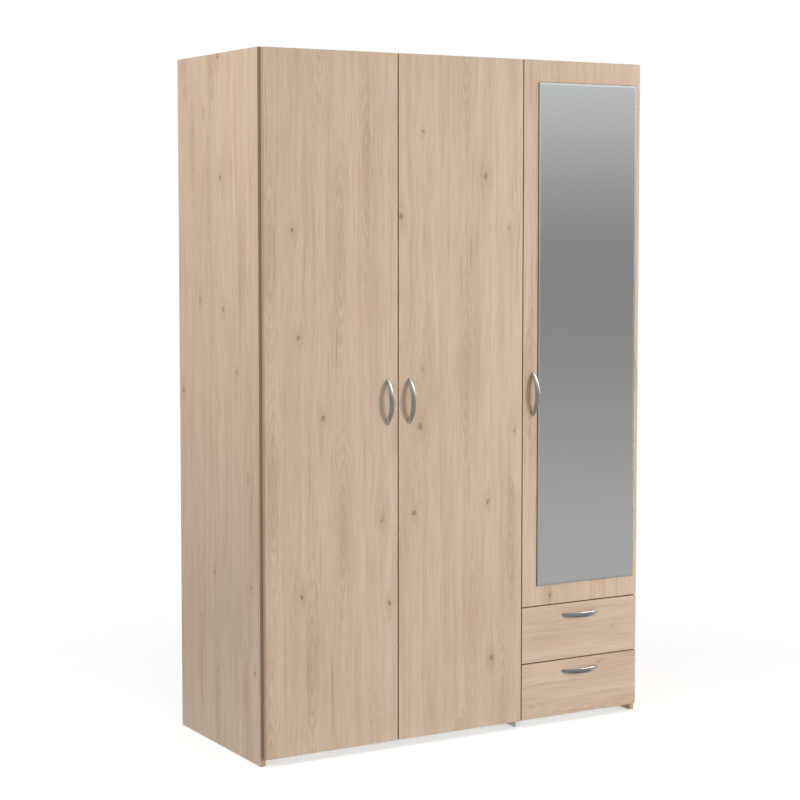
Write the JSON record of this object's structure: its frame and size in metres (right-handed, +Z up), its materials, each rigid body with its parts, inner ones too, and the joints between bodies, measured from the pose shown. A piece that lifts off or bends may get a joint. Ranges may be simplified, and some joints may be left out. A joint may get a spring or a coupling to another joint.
{
  "type": "wardrobe with doors",
  "caption": "Free-standing wardrobe with hinged plain doors over a hanging space, a mirror door over a shelved column, and drawers below the mirror.",
  "frame": {"origin": "floor level, at the middle of the width and of the whole depth from the handles to the back", "axes": "+Z up, +X to the mirror door's side, the doors face -Y"},
  "size_m": [1.2, 0.5462, 1.85],
  "materials": {
    "oak_board": "satin melamine, light oak decor",
    "white_board": "satin melamine, white",
    "back_sheet": "white-faced hardboard",
    "drawer_board": "matte paper foil, off-white",
    "mirror_glass": "polished silvered glass",
    "handle_metal": "satin silver-grey",
    "hinge_steel": "nickel-plated pressed steel",
    "rail_steel": "bright chrome",
    "white_plastic": "moulded white plastic"
  },
  "bodies": {
    "carcase": {"left_side_panel": "oak_board", "right_side_panel": "oak_board", "partition": "white_board", "top_panel": "oak_board", "wide_bottom_panel": "white_board", "narrow_bottom_panel": "white_board", "wide_plinth": "white_board", "narrow_plinth": "white_board", "hat_shelf": "white_board", "drawer_top_shelf": "white_board", "lower_loose_shelf": "white_board", "upper_loose_shelf": "white_board", "left_back_sheet": "back_sheet", "middle_back_sheet": "back_sheet", "right_back_sheet": "back_sheet", "back_joining_strip": "white_plastic", "hanging_rail": "rail_steel", "left_rail_socket": "white_plastic", "right_rail_socket": "white_plastic", "left_door_hinge_arm_bottom": "hinge_steel", "left_door_hinge_arm_middle": "hinge_steel", "left_door_hinge_arm_top": "hinge_steel", "middle_door_hinge_arm_bottom": "hinge_steel", "middle_door_hinge_arm_middle": "hinge_steel", "middle_door_hinge_arm_top": "hinge_steel", "mirror_door_hinge_arm_bottom": "hinge_steel", "mirror_door_hinge_arm_middle": "hinge_steel", "mirror_door_hinge_arm_top": "hinge_steel", "lower_drawer_left_runner": "white_plastic", "lower_drawer_right_runner": "white_plastic", "upper_drawer_left_runner": "white_plastic", "upper_drawer_right_runner": "white_plastic"},
    "left_door": {"left_door_panel": "oak_board", "left_door_handle": "handle_metal", "left_door_hinge_cup_bottom": "hinge_steel", "left_door_hinge_cup_middle": "hinge_steel", "left_door_hinge_cup_top": "hinge_steel"},
    "middle_door": {"middle_door_panel": "oak_board", "middle_door_handle": "handle_metal", "middle_door_hinge_cup_bottom": "hinge_steel", "middle_door_hinge_cup_middle": "hinge_steel", "middle_door_hinge_cup_top": "hinge_steel"},
    "mirror_door": {"mirror_door_panel": "oak_board", "mirror_door_handle": "handle_metal", "mirror_door_hinge_cup_bottom": "hinge_steel", "mirror_door_hinge_cup_middle": "hinge_steel", "mirror_door_hinge_cup_top": "hinge_steel", "mirror_glass": "mirror_glass"},
    "lower_drawer": {"lower_drawer_front": "oak_board", "lower_drawer_handle": "handle_metal", "lower_drawer_left_side": "drawer_board", "lower_drawer_right_side": "drawer_board", "lower_drawer_back": "drawer_board", "lower_drawer_bottom": "back_sheet"},
    "upper_drawer": {"upper_drawer_front": "oak_board", "upper_drawer_handle": "handle_metal", "upper_drawer_left_side": "drawer_board", "upper_drawer_right_side": "drawer_board", "upper_drawer_back": "drawer_board", "upper_drawer_bottom": "back_sheet"}
  },
  "joints": [
    {"name": "left_door_hinge", "type": "hinge", "parent": "carcase", "child": "left_door", "pos_m": [-0.586, -0.23865, 0.935], "axis": [0, 0, -1], "range_deg": [0, 95]},
    {"name": "middle_door_hinge", "type": "hinge", "parent": "carcase", "child": "middle_door", "pos_m": [0.19033, -0.23865, 0.935], "axis": [0, 0, 1], "range_deg": [0, 90]},
    {"name": "mirror_door_hinge", "type": "hinge", "parent": "carcase", "child": "mirror_door", "pos_m": [0.586, -0.23865, 1.0945], "axis": [0, 0, 1], "range_deg": [0, 95]},
    {"name": "lower_drawer_slide", "type": "slide", "parent": "carcase", "child": "lower_drawer", "axis": [0, -1, 0], "range_m": [0, 0.3]},
    {"name": "upper_drawer_slide", "type": "slide", "parent": "carcase", "child": "upper_drawer", "axis": [0, -1, 0], "range_m": [0, 0.3]}
  ]
}
